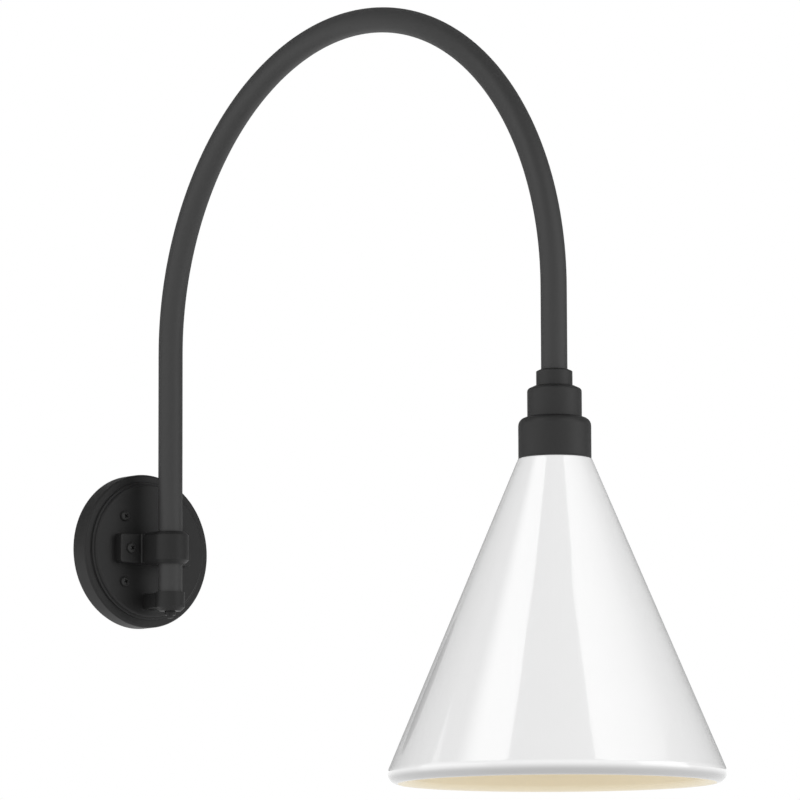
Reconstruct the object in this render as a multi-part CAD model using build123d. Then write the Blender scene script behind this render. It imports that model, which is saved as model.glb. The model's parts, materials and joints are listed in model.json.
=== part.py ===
from build123d import *
import os
from math import asin, atan2, cos, hypot, radians, sin

os.makedirs("parts", exist_ok=True)

# Barn light: a round wall plate carries a hub and a foot, a swan-neck tube turns in both,
# and a stepped cap at the tube's far end holds a conical shade and its lamp.
# Millimetres. The origin is the centre of the plate's back, on the wall.
# +X is to the right as one faces the wall, -Y points away from the wall, +Z is up.

# Fits and clearances
thread_fit = 0.05
press_fit = 0.02
running_fit = 0.06
slip_fit = 0.2
thrust_gap = 0.2

# Wall plate: stepped round casting, hollow behind
plate_d = 127.0
plate_depth = 17.0
plate_wall = 3.0
rim_round = 2.0
ring_width = 6.3
bead_rise = 2.2
bead_width = 2.0
plateau_rise = 4.5
plateau_round = 1.8
gasket_t = 1.5
gasket_width = 6.0
gasket_setback = 0.8

# Mount plate behind the wall plate, for a wall box
box_hole_spacing = 88.9
box_slot_width = 4.8
box_slot_length = 9.0
mount_plate_gap = 2.2
mount_plate_t = 2.0
wire_hole_d = 24.0
earth_screw_z = 38.0
earth_screw_d = 4.0
earth_head_d = 8.0
earth_head_h = 2.2

# Terminal block on the mount plate
terminal_w = 24.0
terminal_h = 10.0
terminal_d = 10.0
terminal_edge = 0.8
terminal_above_lead = 9.0

# Four screws through the plate, each in a cast post
plate_screw_x = 26.5
plate_screw_z = 27.0
plate_screw_d = 4.0
plate_head_d = 8.2
plate_head_h = 2.8
post_wall = 2.8
post_gap = 0.5

# Stem clamp: ears, raised block and hub
ear_span = 71.6
ear_height = 24.0
ear_depth = 8.6
ear_corner = 2.6
ear_edge = 1.2
block_width = 35.2
block_rise = 3.2
block_edge = 1.0
hub_reach = 15.7
hub_wall = 3.2
hub_height = 26.4
hub_chamfer = 3.0
bush_wall = 2.0
clamp_screw_x = 26.2
clamp_screw_d = 4.5
clamp_head_d = 8.6
clamp_head_h = 2.8

# Stem foot: cup under the stem, with a square neck to the plate
foot_wall = 2.0
foot_skirt = 3.5
foot_chamfer = 3.0
foot_floor = 3.0
ledge_rise = 0.4
washer_t = 0.8
washer_width = 2.9
neck_inset = 6.7
neck_width = 13.4
neck_height = 12.0
neck_edge = 0.8
neck_floor = 1.1
foot_screw_x = 4.2
foot_screw_drop = 2.6
foot_screw_d = 3.0
foot_screw_grip = 7.0
foot_head_d = 5.0
foot_head_h = 1.8
plug_d = 6.0
plug_head_d = 9.0
plug_head_h = 3.4
plug_nose_d = 5.0
plug_nose_h = 2.4

# Swan-neck tube and the leads inside
tube_d = 20.0
tube_wall = 1.5
arch_span = 480.0
spring_height = 161.5
leg_length = 63.9
lead_d = 4.0
lead_room = 0.4
lead_bend = 4.5
lead_turn = 2.6

# Screw-in lamp
lamp_cap_d = 25.8
lamp_cap_h = 25.0
lamp_cap_t = 0.5
lamp_tip_h = 3.0
lamp_tip_d = 9.0
lamp_tip_base_d = 18.0
lamp_d = 60.0
lamp_glass_h = 81.0
lamp_glass_t = 1.0
lamp_neck_h = 10.0
lamp_neck_grip = 6.0

# Lampholder and its metal parts
lamp_cap_play = 0.35
shell_t = 0.6
shell_h = 38.0
holder_wall = 3.45
holder_h = 58.0
holder_roof = 13.5
holder_edge = 1.0
nipple_d = 10.0
nipple_bore_d = 7.0
nipple_grip = 8.0
nut_across = 15.0
nut_h = 4.0
contact_d = 9.0
contact_t = 2.0
terminal_screw_r = 13.6
terminal_screw_d = 3.0
terminal_screw_grip = 6.0
terminal_head_d = 4.6
terminal_head_h = 1.8

# Stepped cap: collar, cup and fitter
collar_wall = 3.55
collar_h = 12.5
collar_floor = 3.0
collar_bevel_w = 3.0
collar_bevel_h = 1.4
grub_d = 4.0
grub_sink = 0.3
cup_gap = 1.15
cup_wall = 2.0
cup_h = 24.1
cup_top = 4.0
cup_bevel_w = 5.6
cup_bevel_h = 3.4
cup_edge = 1.2
fitter_step = 6.95
fitter_land = 0.55
fitter_h = 30.4
fitter_top = 3.0
fitter_wall = 2.0

# Shade: spun cone with the lip rolled inward, clamped by a ring on the holder
shade_d = 254.0
shade_h = 244.7
shade_t = 1.2
shade_overhang = 0.2
shade_shoulder = 1.6
shade_lip = 8.0
shade_curl = 65.0
shade_gasket_t = 0.8
ring_gap = 3.1
ring_h = 6.0
ring_lip_h = 2.4
ring_hub_wall = 2.6

# Places and diameters worked out from the sizes above
plate_r = plate_d / 2
plateau = plate_depth + plateau_rise
plateau_back = plateau - plate_wall
ring_r = plate_r - ring_width
plateau_r = ring_r - bead_width
gasket_d = plate_d - 2 * gasket_setback
mount_plate_d = gasket_d - 2 * gasket_width - 2 * mount_plate_gap
post_low = mount_plate_t + post_gap
ear_front = plateau + ear_depth
block_front = ear_front + block_rise
stem_standoff = block_front + hub_reach
bush_bore_d = tube_d + 2 * running_fit
bush_d = bush_bore_d + 2 * bush_wall
hub_d = bush_d + 2 * press_fit + 2 * hub_wall
neck_bottom = neck_inset - plateau_r
foot_top = neck_bottom + neck_height
foot_bottom = neck_bottom - foot_skirt
foot_d = bush_bore_d + 2 * foot_wall
foot_screw_z = foot_top - foot_screw_drop
lead_bore_d = lead_d + 2 * lead_room
lead_z = neck_bottom + neck_floor + lead_bore_d / 2
washer_low = lead_z + lead_bore_d / 2 + ledge_rise
washer_top = washer_low + washer_t
stem_end = washer_top + thrust_gap
chamber_d = tube_d - 2 * washer_width
arch_r = arch_span / 2
shell_bore_d = lamp_cap_d + 2 * lamp_cap_play
shell_d = shell_bore_d + 2 * shell_t
holder_bore_d = shell_d + 2 * slip_fit
holder_d = holder_bore_d + 2 * holder_wall
collar_d = tube_d + 2 * slip_fit + 2 * collar_wall
cup_bore_d = holder_d + 2 * cup_gap
cup_d = cup_bore_d + 2 * cup_wall
fitter_d = cup_d + 2 * fitter_step
through_d = holder_d + 4 * slip_fit
neck_top_d = fitter_d + 2 * shade_overhang
ring_d = neck_top_d - 2 * shade_t - 2 * ring_gap
collar_z = spring_height - leg_length
cup_z = collar_z - collar_h
leg_end = cup_z + collar_floor
fitter_z = cup_z - cup_h
gasket_z = fitter_z - fitter_h
shade_z = gasket_z - shade_gasket_t
nut_z = cup_z - cup_top
holder_z = nut_z - nut_h
nipple_end = holder_z - nipple_grip
shell_z = holder_z - holder_roof
contact_z = shell_z - contact_t
lamp_cap_z = contact_z - lamp_tip_h
glass_z = lamp_cap_z - lamp_cap_h

# Frames: the wall frame looks out from the wall, the stem and head frames stand upright
wall = Plane(origin=(0, 0, 0), x_dir=(1, 0, 0), z_dir=(0, -1, 0)).location
stem = Pos(0, -stem_standoff, 0)
head = Pos(0, -stem_standoff - arch_span, 0)
arm_plane = Plane(origin=(0, -stem_standoff, 0), x_dir=(0, -1, 0), z_dir=(-1, 0, 0))


def outline(*points):
    """Close points of radius and height into a face."""
    return make_face(Polyline(*points, close=True))


def rounded(face, x, y, radius):
    """Round the corner of an outline that is nearest to a radius and height."""
    nearest = min(face.vertices(), key=lambda v: hypot(v.X - x, v.Y - y))
    return fillet(nearest, radius)


def turned(face):
    """Revolve an outline about the Z axis."""
    return revolve(Plane.XZ * face, axis=Axis.Z)


def rod(diameter, low, high):
    """Upright round bar between two heights."""
    return Pos(0, 0, low) * extrude(Circle(diameter / 2), amount=high - low)


def pipe(outer, inner, low, high):
    """Upright round tube between two heights."""
    return Pos(0, 0, low) * extrude(Circle(outer / 2) - Circle(inner / 2), amount=high - low)


def top_edges(solid):
    """Edges round the highest face."""
    return solid.edges().group_by(Axis.Z)[-1]


def pan_screw(shank_d, shank_low, seat, head_d, head_h):
    """Pan-head screw along Z: the head stands on the seat and the shank goes down."""
    pan = rod(head_d, seat, seat + head_h)
    return rod(shank_d, shank_low, seat) + fillet(top_edges(pan), 0.45 * head_h)


def save(name, *solids):
    """Write one node, a single solid or a group of separate ones."""
    node = solids[0] if len(solids) == 1 else Compound(children=list(solids))
    export_step(node, f"parts/{name}.step")


# Wall gasket
save("wall_gasket", wall * pipe(gasket_d, gasket_d - 2 * gasket_width, 0, gasket_t))

# Mount plate with two slots for the wall box and tapped holes for the plate's screws
screw_places = [Pos(x, z) for x in (-plate_screw_x, plate_screw_x) for z in (-plate_screw_z, plate_screw_z)]
earth_place = Pos(0, earth_screw_z)
mount_plate = pipe(mount_plate_d, wire_hole_d, 0, mount_plate_t)
for x in (-box_hole_spacing / 2, box_hole_spacing / 2):
    mount_plate -= Pos(x, 0) * extrude(SlotOverall(box_slot_length, box_slot_width), amount=mount_plate_t)
for place in screw_places:
    mount_plate -= place * rod(plate_screw_d + 2 * thread_fit, 0, mount_plate_t)
mount_plate -= earth_place * rod(earth_screw_d + 2 * thread_fit, 0, mount_plate_t)
save("mount_plate", wall * mount_plate)

earth_screw = pan_screw(earth_screw_d, 0, mount_plate_t, earth_head_d, earth_head_h)
save("earth_screw", wall * earth_place * earth_screw)

# Terminal block, above the lead's way into the neck
terminal_low = lead_z + terminal_above_lead
terminal_block = extrude(RectangleRounded(terminal_w, terminal_h, terminal_edge), amount=terminal_d)
terminal_block = chamfer(top_edges(terminal_block), terminal_edge / 2)
save("terminal_block", wall * Pos(0, terminal_low + terminal_h / 2, mount_plate_t) * terminal_block)

# Wall plate: rim, flat ring, bead and plateau, with posts behind the screws
plate_face = outline(
    (0, plateau),
    (plateau_r, plateau),
    (plateau_r, plate_depth + bead_rise),
    (ring_r, plate_depth + bead_rise),
    (ring_r, plate_depth),
    (plate_r, plate_depth),
    (plate_r, gasket_t),
    (plate_r - plate_wall, gasket_t),
    (plate_r - plate_wall, plate_depth - plate_wall),
    (plateau_r - plate_wall, plate_depth - plate_wall),
    (plateau_r - plate_wall, plateau_back),
    (0, plateau_back),
)
plate_face = rounded(plate_face, plateau_r, plateau, plateau_round)
plate_face = rounded(plate_face, ring_r, plate_depth + bead_rise, 0.45 * bead_width)
plate_face = rounded(plate_face, plate_r, plate_depth, rim_round)
wall_plate = turned(plate_face)
clamp_places = [Pos(-clamp_screw_x, 0), Pos(clamp_screw_x, 0)]
foot_places = [Pos(-foot_screw_x, foot_screw_z), Pos(foot_screw_x, foot_screw_z)]
post_screws = [(place, plate_screw_d, slip_fit) for place in screw_places]
post_screws += [(place, clamp_screw_d, thread_fit) for place in clamp_places]
for place, screw_d, fit in post_screws:
    wall_plate += place * rod(screw_d + 2 * fit + 2 * post_wall, post_low, plateau_back)
    wall_plate -= place * rod(screw_d + 2 * fit, post_low, plateau)
for place in foot_places:
    wall_plate -= place * rod(foot_screw_d + 2 * slip_fit, plateau_back, plateau)
wall_plate -= Pos(0, lead_z) * rod(lead_bore_d, plateau_back, plateau)
save("wall_plate", wall * wall_plate)

plate_screw = pan_screw(plate_screw_d, 0, plateau, plate_head_d, plate_head_h)
save("plate_screws", *[wall * place * plate_screw for place in screw_places])

# Stem clamp: two ears on the plate, a raised block and the hub that runs out round the stem
ears = Pos(0, 0, plateau) * extrude(RectangleRounded(ear_span, ear_height, ear_corner), amount=ear_depth)
ears = fillet(top_edges(ears), ear_edge)
block = Pos(0, 0, plateau) * extrude(Rectangle(block_width, ear_height), amount=ear_depth + block_rise)
block = fillet(top_edges(block), block_edge)
hub_back = hub_reach + block_rise
hub_plan = Circle(hub_d / 2) + Pos(0, hub_back / 2) * Rectangle(hub_d, hub_back)
hub = Pos(0, 0, -hub_height / 2) * extrude(hub_plan, amount=hub_height)
hub = chamfer(hub.edges().group_by(Axis.Z)[0] + hub.edges().group_by(Axis.Z)[-1], hub_chamfer)
stem_clamp = wall * (ears + block) + stem * hub
stem_clamp -= stem * rod(bush_d + 2 * press_fit, -hub_height / 2, hub_height / 2)
for place in clamp_places:
    stem_clamp -= wall * place * rod(clamp_screw_d + 2 * slip_fit, plateau, ear_front)
save("stem_clamp", stem_clamp)

clamp_screw = pan_screw(clamp_screw_d, post_low, ear_front, clamp_head_d, clamp_head_h)
save("clamp_screws", *[wall * place * clamp_screw for place in clamp_places])

save("hub_bush", stem * pipe(bush_d, bush_bore_d, -hub_height / 2, hub_height / 2))

# Stem foot: cup with a square neck, bored for the stem, the lead and the plug
cup = rod(foot_d, foot_bottom, foot_top)
cup = chamfer(cup.edges().filter_by(GeomType.CIRCLE).group_by(Axis.Z)[0], foot_chamfer)
neck_face = Pos(0, foot_top - neck_height / 2, plateau) * RectangleRounded(neck_width, neck_height, neck_edge)
stem_foot = stem * cup + wall * extrude(neck_face, amount=stem_standoff - plateau)
stem_foot -= stem * rod(bush_bore_d, washer_low, foot_top)
stem_foot -= stem * rod(chamber_d, foot_bottom + foot_floor, washer_low)
stem_foot -= stem * rod(plug_d + 2 * thread_fit, foot_bottom, foot_bottom + foot_floor)
stem_foot -= wall * Pos(0, lead_z) * rod(lead_bore_d, plateau, stem_standoff)
for place in foot_places:
    stem_foot -= wall * place * rod(foot_screw_d + 2 * thread_fit, plateau, plateau + foot_screw_grip)
save("stem_foot", stem_foot)

foot_shank = rod(foot_screw_d, plateau_back, plateau + foot_screw_grip)
foot_screw = foot_shank + rod(foot_head_d, plateau_back - foot_head_h, plateau_back)
save("foot_screws", *[wall * place * foot_screw for place in foot_places])

save("thrust_washer", stem * pipe(tube_d, chamber_d, washer_low, washer_top))

plug_nose = rod(plug_nose_d, foot_bottom - plug_head_h - plug_nose_h, foot_bottom - plug_head_h)
plug_head = rod(plug_head_d, foot_bottom - plug_head_h, foot_bottom)
foot_plug = rod(plug_d, foot_bottom, foot_bottom + foot_floor) + plug_head + plug_nose
save("foot_plug", stem * foot_plug)

# Swan-neck tube: stem, half-round arch and outer leg
arch_top = (arch_r, spring_height + arch_r)


def arm_path(low, end):
    """Centre line of the arm from the stem's foot at one height to the leg's end at another."""
    rise = Line((0, low), (0, spring_height))
    arch = ThreePointArc((0, spring_height), arch_top, (arch_span, spring_height))
    drop = Line((arch_span, spring_height), (arch_span, end))
    return arm_plane * (rise + arch + drop)


def swept_up(section, low, end):
    """Sweep a round section along the arm."""
    return sweep(stem * Pos(0, 0, low) * section, path=arm_path(low, end))


tube_section = Circle(tube_d / 2) - Circle(tube_d / 2 - tube_wall)
save("gooseneck_arm", swept_up(tube_section, stem_end, leg_end))

# Leads: one from the terminal block to the stem's axis, one from there through the arm
lead_depth = mount_plate_t + terminal_d / 2
lead_route = [
    (0, -lead_depth, terminal_low),
    (0, -lead_depth, lead_z),
    (0, -stem_standoff, lead_z),
    (0, -stem_standoff, washer_top),
]
lead_path = FilletPolyline(*lead_route, radius=[lead_bend, lead_turn])
lead_section = Plane(origin=lead_route[0], z_dir=(0, 0, -1)) * Circle(lead_d / 2)
save("supply_lead", sweep(lead_section, path=lead_path))
save("arm_lead", swept_up(Circle(lead_d / 2), washer_top, nipple_end))

# Collar on the end of the leg, with its grub screw on the wall side
collar_r = collar_d / 2
tube_seat_d = tube_d + 2 * slip_fit
collar_face = outline(
    (nipple_d / 2 + thread_fit, cup_z),
    (collar_r, cup_z),
    (collar_r, collar_z - collar_bevel_h),
    (collar_r - collar_bevel_w, collar_z),
    (tube_seat_d / 2, collar_z),
    (tube_seat_d / 2, leg_end),
    (nipple_d / 2 + thread_fit, leg_end),
)
collar_face = rounded(collar_face, collar_r, collar_z - collar_bevel_h, collar_bevel_h / 2)
grub_place = Plane(origin=(0, 0, (leg_end + collar_z - collar_bevel_h) / 2), z_dir=(0, 1, 0)).location
collar = turned(collar_face) - grub_place * rod(grub_d + 2 * thread_fit, tube_d / 2, collar_r)
save("arm_collar", head * collar)
grub = rod(grub_d, tube_d / 2 + slip_fit, collar_r - grub_sink)
save("collar_grub_screw", head * grub_place * grub)

# Nipple and lock nut that hold the cap and the lampholder on the collar
save("nipple", head * pipe(nipple_d, nipple_bore_d, nipple_end, leg_end))
nut = extrude(RegularPolygon(nut_across / 2, 6, major_radius=False), amount=nut_h)
nut -= rod(nipple_d + 2 * thread_fit, 0, nut_h)
save("lock_nut", head * Pos(0, 0, holder_z) * nut)

# Cup: middle step, bevelled at the top and open below
cup_r = cup_d / 2
cup_hole_r = nipple_d / 2 + slip_fit
cup_face = outline(
    (cup_hole_r, cup_z),
    (cup_r - cup_bevel_w, cup_z),
    (cup_r, cup_z - cup_bevel_h),
    (cup_r, fitter_z),
    (cup_bore_d / 2, fitter_z),
    (cup_bore_d / 2, nut_z),
    (cup_hole_r, nut_z),
)
cup_face = rounded(cup_face, cup_r, cup_z - cup_bevel_h, cup_edge)
save("socket_cup", head * turned(cup_face))

# Fitter: widest step, with a round shoulder
fitter_r = fitter_d / 2
fitter_bore_r = fitter_r - fitter_wall
fitter_shoulder = fitter_step - fitter_land
fitter_face = outline(
    (through_d / 2, fitter_z),
    (fitter_r, fitter_z),
    (fitter_r, gasket_z),
    (fitter_bore_r, gasket_z),
    (fitter_bore_r, fitter_z - fitter_top),
    (through_d / 2, fitter_z - fitter_top),
)
fitter_face = rounded(fitter_face, fitter_r, fitter_z, fitter_shoulder)
fitter_face = rounded(fitter_face, fitter_bore_r, fitter_z - fitter_top, fitter_shoulder - fitter_wall)
save("shade_fitter", head * turned(fitter_face))
save("shade_gasket", head * pipe(fitter_d, 2 * fitter_bore_r, shade_z, gasket_z))

# Shade: flat top flange, straight cone and a lip that rolls inward
neck_r = neck_top_d / 2
lip_centre = (shade_d / 2 - shade_lip, shade_z - shade_h + shade_lip)
run_r = lip_centre[0] - neck_r
run_z = lip_centre[1] - shade_z
slope = atan2(run_z, run_r) + asin(shade_lip / hypot(run_r, run_z))
lip_start = slope + radians(90)
lip_end = radians(-90 - shade_curl)


def lip_point(radius, angle):
    """Point on the lip's round at an angle from the horizontal."""
    return lip_centre[0] + radius * cos(angle), lip_centre[1] + radius * sin(angle)


lip_in = shade_lip - shade_t
lip_middle = (lip_start + lip_end) / 2
inner_start = lip_point(lip_in, lip_start)
inner_rise = shade_z - shade_t - inner_start[1]
inner_neck_r = inner_start[0] + inner_rise * cos(slope) / sin(slope)
shade_edges = [
    Polyline((through_d / 2, shade_z - shade_t), (through_d / 2, shade_z), (neck_r, shade_z)),
    Line((neck_r, shade_z), lip_point(shade_lip, lip_start)),
    ThreePointArc(*[lip_point(shade_lip, angle) for angle in (lip_start, lip_middle, lip_end)]),
    Line(lip_point(shade_lip, lip_end), lip_point(lip_in, lip_end)),
    ThreePointArc(*[lip_point(lip_in, angle) for angle in (lip_end, lip_middle, lip_start)]),
    Polyline(inner_start, (inner_neck_r, shade_z - shade_t), (through_d / 2, shade_z - shade_t)),
]
shade_face = rounded(make_face(shade_edges), neck_r, shade_z, shade_shoulder)
save("shade", head * turned(shade_face))

# Ring that screws up the holder and clamps the shade's flange
ring_top = shade_z - shade_t
holder_r = holder_d / 2
ring_hub_r = holder_r + ring_hub_wall
ring_face = outline(
    (holder_r + thread_fit, ring_top),
    (ring_d / 2, ring_top),
    (ring_d / 2, ring_top - ring_lip_h),
    (ring_hub_r, ring_top - ring_lip_h),
    (ring_hub_r, ring_top - ring_h),
    (holder_r + thread_fit, ring_top - ring_h),
)
save("shade_ring", head * turned(ring_face))

# Lampholder: ceramic body with a deep roof, and the metal parts inside
terminal_places = [Pos(-terminal_screw_r, 0), Pos(terminal_screw_r, 0)]
holder = rod(holder_d, holder_z - holder_h, holder_z)
holder = chamfer(holder.edges().filter_by(GeomType.CIRCLE), holder_edge)
holder -= rod(holder_bore_d, holder_z - holder_h, shell_z)
holder -= rod(nipple_d + 2 * thread_fit, nipple_end, holder_z)
for place in terminal_places:
    holder -= place * rod(terminal_screw_d + 2 * thread_fit, holder_z - terminal_screw_grip, holder_z)
save("lampholder", head * holder)
terminal_screw = pan_screw(
    terminal_screw_d, holder_z - terminal_screw_grip, holder_z, terminal_head_d, terminal_head_h
)
save("terminal_screws", *[head * place * terminal_screw for place in terminal_places])
save("screw_shell", head * pipe(shell_d, shell_bore_d, shell_z - shell_h, shell_z))
save("centre_contact", head * rod(contact_d, contact_z, shell_z))

# Lamp: screw cap with its tip, and a pear-shaped glass
cap_r = lamp_cap_d / 2
tip_base_r = lamp_tip_base_d / 2
lamp_cap = rod(lamp_cap_d, glass_z, lamp_cap_z)
lamp_cap = fillet(top_edges(lamp_cap), cap_r - tip_base_r)
lamp_cap -= rod(lamp_cap_d - 2 * lamp_cap_t, glass_z, glass_z + lamp_neck_grip)
save("bulb_cap", head * lamp_cap)
save("bulb_tip", head * Pos(0, 0, lamp_cap_z + lamp_tip_h / 2) * Cone(tip_base_r, lamp_tip_d / 2, lamp_tip_h))

glass_bottom = glass_z - lamp_glass_h
ball_r = lamp_d / 2
ball_z = glass_bottom + ball_r
glass_neck_r = cap_r - lamp_cap_t - thread_fit
flare_z = glass_z - lamp_neck_h
flare_drop = flare_z - ball_z
flare_r = (flare_drop**2 + glass_neck_r**2 - ball_r**2) / (2 * (ball_r - glass_neck_r))
flare_turn = atan2(flare_drop, glass_neck_r + flare_r)


def glass_wall(inset):
    """Half outline of the glass from its neck to its lowest point, set in by a distance."""
    ball = ball_r - inset
    flare = flare_r + inset
    flare_x = glass_neck_r + flare_r
    meet = (ball * cos(flare_turn), ball_z + ball * sin(flare_turn))
    halfway = radians(180) + flare_turn / 2
    ball_middle = (flare_turn - radians(90)) / 2
    return [
        Line((flare_x - flare, glass_z + lamp_neck_grip), (flare_x - flare, flare_z)),
        ThreePointArc(
            (flare_x - flare, flare_z), (flare_x + flare * cos(halfway), flare_z + flare * sin(halfway)), meet
        ),
        ThreePointArc(
            meet, (ball * cos(ball_middle), ball_z + ball * sin(ball_middle)), (0, ball_z - ball)
        ),
    ]


glass_top = glass_z + lamp_neck_grip
glass_edges = glass_wall(0) + glass_wall(lamp_glass_t)
glass_edges.append(Line((glass_neck_r, glass_top), (glass_neck_r - lamp_glass_t, glass_top)))
glass_edges.append(Line((0, glass_bottom), (0, glass_bottom + lamp_glass_t)))
save("bulb_glass", head * turned(make_face(glass_edges)))
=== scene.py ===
# %% [markdown]
# # A barn light on a swan-neck arm
# The real light is a cast wall plate, a bent tube that swivels in a clamp on that plate, and a
# stepped cap that carries a cone of spun sheet metal. The solid model already holds every piece at
# its real size and place. This file dresses it: pieces whose surface needs more than the solids give
# are modelled again, smoother and with their edges broken, and each surface gets a finish of nodes.

# %% Load the model
import json
import math
import bmesh
import bpy
from mathutils import Matrix, Vector


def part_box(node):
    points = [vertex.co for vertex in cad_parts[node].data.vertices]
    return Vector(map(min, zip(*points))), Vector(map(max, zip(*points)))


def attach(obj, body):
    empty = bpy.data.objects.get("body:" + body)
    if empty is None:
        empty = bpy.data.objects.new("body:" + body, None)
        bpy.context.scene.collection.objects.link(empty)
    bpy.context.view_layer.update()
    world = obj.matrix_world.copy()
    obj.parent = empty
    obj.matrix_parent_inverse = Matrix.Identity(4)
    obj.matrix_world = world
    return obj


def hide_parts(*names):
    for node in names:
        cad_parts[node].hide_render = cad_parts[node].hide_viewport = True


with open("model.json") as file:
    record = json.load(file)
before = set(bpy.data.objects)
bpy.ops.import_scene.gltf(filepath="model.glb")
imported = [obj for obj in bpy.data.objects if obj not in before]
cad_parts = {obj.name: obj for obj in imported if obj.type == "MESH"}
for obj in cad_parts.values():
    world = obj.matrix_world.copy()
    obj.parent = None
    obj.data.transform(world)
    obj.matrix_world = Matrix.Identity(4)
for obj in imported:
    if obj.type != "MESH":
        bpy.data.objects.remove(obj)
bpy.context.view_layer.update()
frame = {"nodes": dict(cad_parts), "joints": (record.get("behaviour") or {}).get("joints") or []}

scene = bpy.context.scene
mm = 0.001

# %% [markdown]
# ## Where things are
# A maker measures from a few datums: the wall, the upright axis that the stem turns on, and the
# upright axis of the lamp head. All three come from the loaded model, so nothing is placed by eye.

# %% Datums
stem_axis = Vector(frame["joints"][0]["pos_m"])
shade_low, shade_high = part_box("shade")
head_axis = (shade_low + shade_high) / 2
head_axis.z = 0
wall_axis = Vector((0, 0, 0))
print("stem axis y", round(stem_axis.y / mm, 2), "head axis y", round(head_axis.y / mm, 2))

# %% [markdown]
# ## A grain for every finish
# Paint, rubber, glaze and plated steel all share two things: a fine grain that catches light, and
# broad soft patches where the tone and the gloss drift a little. One node group makes both from the
# object's own coordinates, and each finish asks for its own sizes. It gives out plain numbers, so the
# shader itself stays in the material, where it can be read by an exporter.

# %% Surface grain group
def build_grain_group():
    """Node group: fine grain and broad patches, both from 0 to 1, at sizes given in metres."""
    tree = bpy.data.node_groups.new("surface grain", "ShaderNodeTree")
    tree.interface.new_socket("Vector", in_out="INPUT", socket_type="NodeSocketVector")
    given = tree.nodes.new("NodeGroupInput")
    result = tree.nodes.new("NodeGroupOutput")
    for label, detail in (("Grain", 2.0), ("Patches", 4.0)):
        tree.interface.new_socket(f"{label} Size", in_out="INPUT", socket_type="NodeSocketFloat")
        tree.interface.new_socket(label, in_out="OUTPUT", socket_type="NodeSocketFloat")
        scale = tree.nodes.new("ShaderNodeMath")
        scale.operation = "DIVIDE"
        scale.inputs[0].default_value = 1.0
        noise = tree.nodes.new("ShaderNodeTexNoise")
        noise.inputs["Detail"].default_value = detail
        tree.links.new(given.outputs[f"{label} Size"], scale.inputs[1])
        tree.links.new(given.outputs["Vector"], noise.inputs["Vector"])
        tree.links.new(scale.outputs[0], noise.inputs["Scale"])
        tree.links.new(noise.outputs[0], result.inputs[label])
    return tree


grain_group = build_grain_group()
print("group", grain_group.name, [item.name for item in grain_group.interface.items_tree])

# %% [markdown]
# ## From grain to finish
# Every finish is the same short recipe: the patches slide between a darker and a lighter tone and
# between two roughnesses, and the grain becomes a bump with a real height in millimetres. What is the
# same all over, such as metalness or a clear coat, is set straight on the shader.

# %% Finish recipe
def finish(name, dark, light, roughness, grain, patches, relief, **sockets):
    """Material with drifting tone and roughness and a grain of a given size and relief in metres."""
    material = bpy.data.materials.new(name)
    material.use_nodes = True
    nodes, links = material.node_tree.nodes, material.node_tree.links
    shader = nodes["Principled BSDF"]
    place = nodes.new("ShaderNodeTexCoord")
    surface = nodes.new("ShaderNodeGroup")
    surface.node_tree = grain_group
    surface.inputs["Grain Size"].default_value = grain
    surface.inputs["Patches Size"].default_value = patches
    tone = nodes.new("ShaderNodeMix")
    tone.data_type = "RGBA"
    tone.inputs["A"].default_value = (*dark, 1)
    tone.inputs["B"].default_value = (*light, 1)
    gloss = nodes.new("ShaderNodeMapRange")
    gloss.inputs["To Min"].default_value = roughness[0]
    gloss.inputs["To Max"].default_value = roughness[1]
    bump = nodes.new("ShaderNodeBump")
    bump.inputs["Distance"].default_value = relief
    links.new(place.outputs["Object"], surface.inputs["Vector"])
    links.new(surface.outputs["Patches"], tone.inputs["Factor"])
    links.new(surface.outputs["Patches"], gloss.inputs["Value"])
    links.new(surface.outputs["Grain"], bump.inputs["Height"])
    links.new(tone.outputs["Result"], shader.inputs["Base Color"])
    links.new(gloss.outputs["Result"], shader.inputs["Roughness"])
    links.new(bump.outputs["Normal"], shader.inputs["Normal"])
    for socket, value in sockets.items():
        shader.inputs[socket.replace("_", " ")].default_value = value
    print("finish", name)
    return material


# %% [markdown]
# ## The paints
# The castings and the tube are sprayed with black powder and baked: a matte skin with a pebble of
# about a third of a millimetre. The coat on the cap is a shade paler than on the castings, and the
# tube's is paler still. All three are nearly black, so most of what shows is their soft gloss. The
# shade is sprayed with a gloss white outside, which lies in a very shallow orange peel under a clear
# coat, and with a warm cream inside, which makes the light friendlier.

# %% Paints
def grey(value):
    """Neutral colour of one strength."""
    return (value, value, value)


pebble = 0.35 * mm
casting_coat = finish(
    "black powder coat", grey(0.006), grey(0.009), (0.46, 0.56), pebble, 14 * mm, 0.03 * mm,
    Specular_IOR_Level=0.33,
)
cap_coat = finish(
    "black powder coat on cap", grey(0.009), grey(0.013), (0.46, 0.56), pebble, 14 * mm, 0.03 * mm,
    Specular_IOR_Level=0.4,
)
tube_coat = finish(
    "black powder coat on tube", grey(0.025), grey(0.03), (0.48, 0.58), pebble, 18 * mm, 0.035 * mm,
    Specular_IOR_Level=0.42,
)
white_enamel = finish(
    "white enamel", grey(0.865), grey(0.885), (0.1, 0.14), 3.5 * mm, 60 * mm, 0.0015 * mm,
    Coat_Weight=1.0, Coat_Roughness=0.025,
)
cream_enamel = finish(
    "cream enamel", (0.84, 0.745, 0.55), (0.87, 0.775, 0.58), (0.3, 0.38),
    2.5 * mm, 40 * mm, 0.006 * mm,
)

# %% [markdown]
# ## The metals
# Behind the plate and inside the cap are zinc-plated steel, blackened steel, brass and the lamp's
# pressed cap. Metals take their colour from reflection, so they are fully metallic and mostly their
# gloss drifts. The black screws are painted, so they follow the paints instead.

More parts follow.
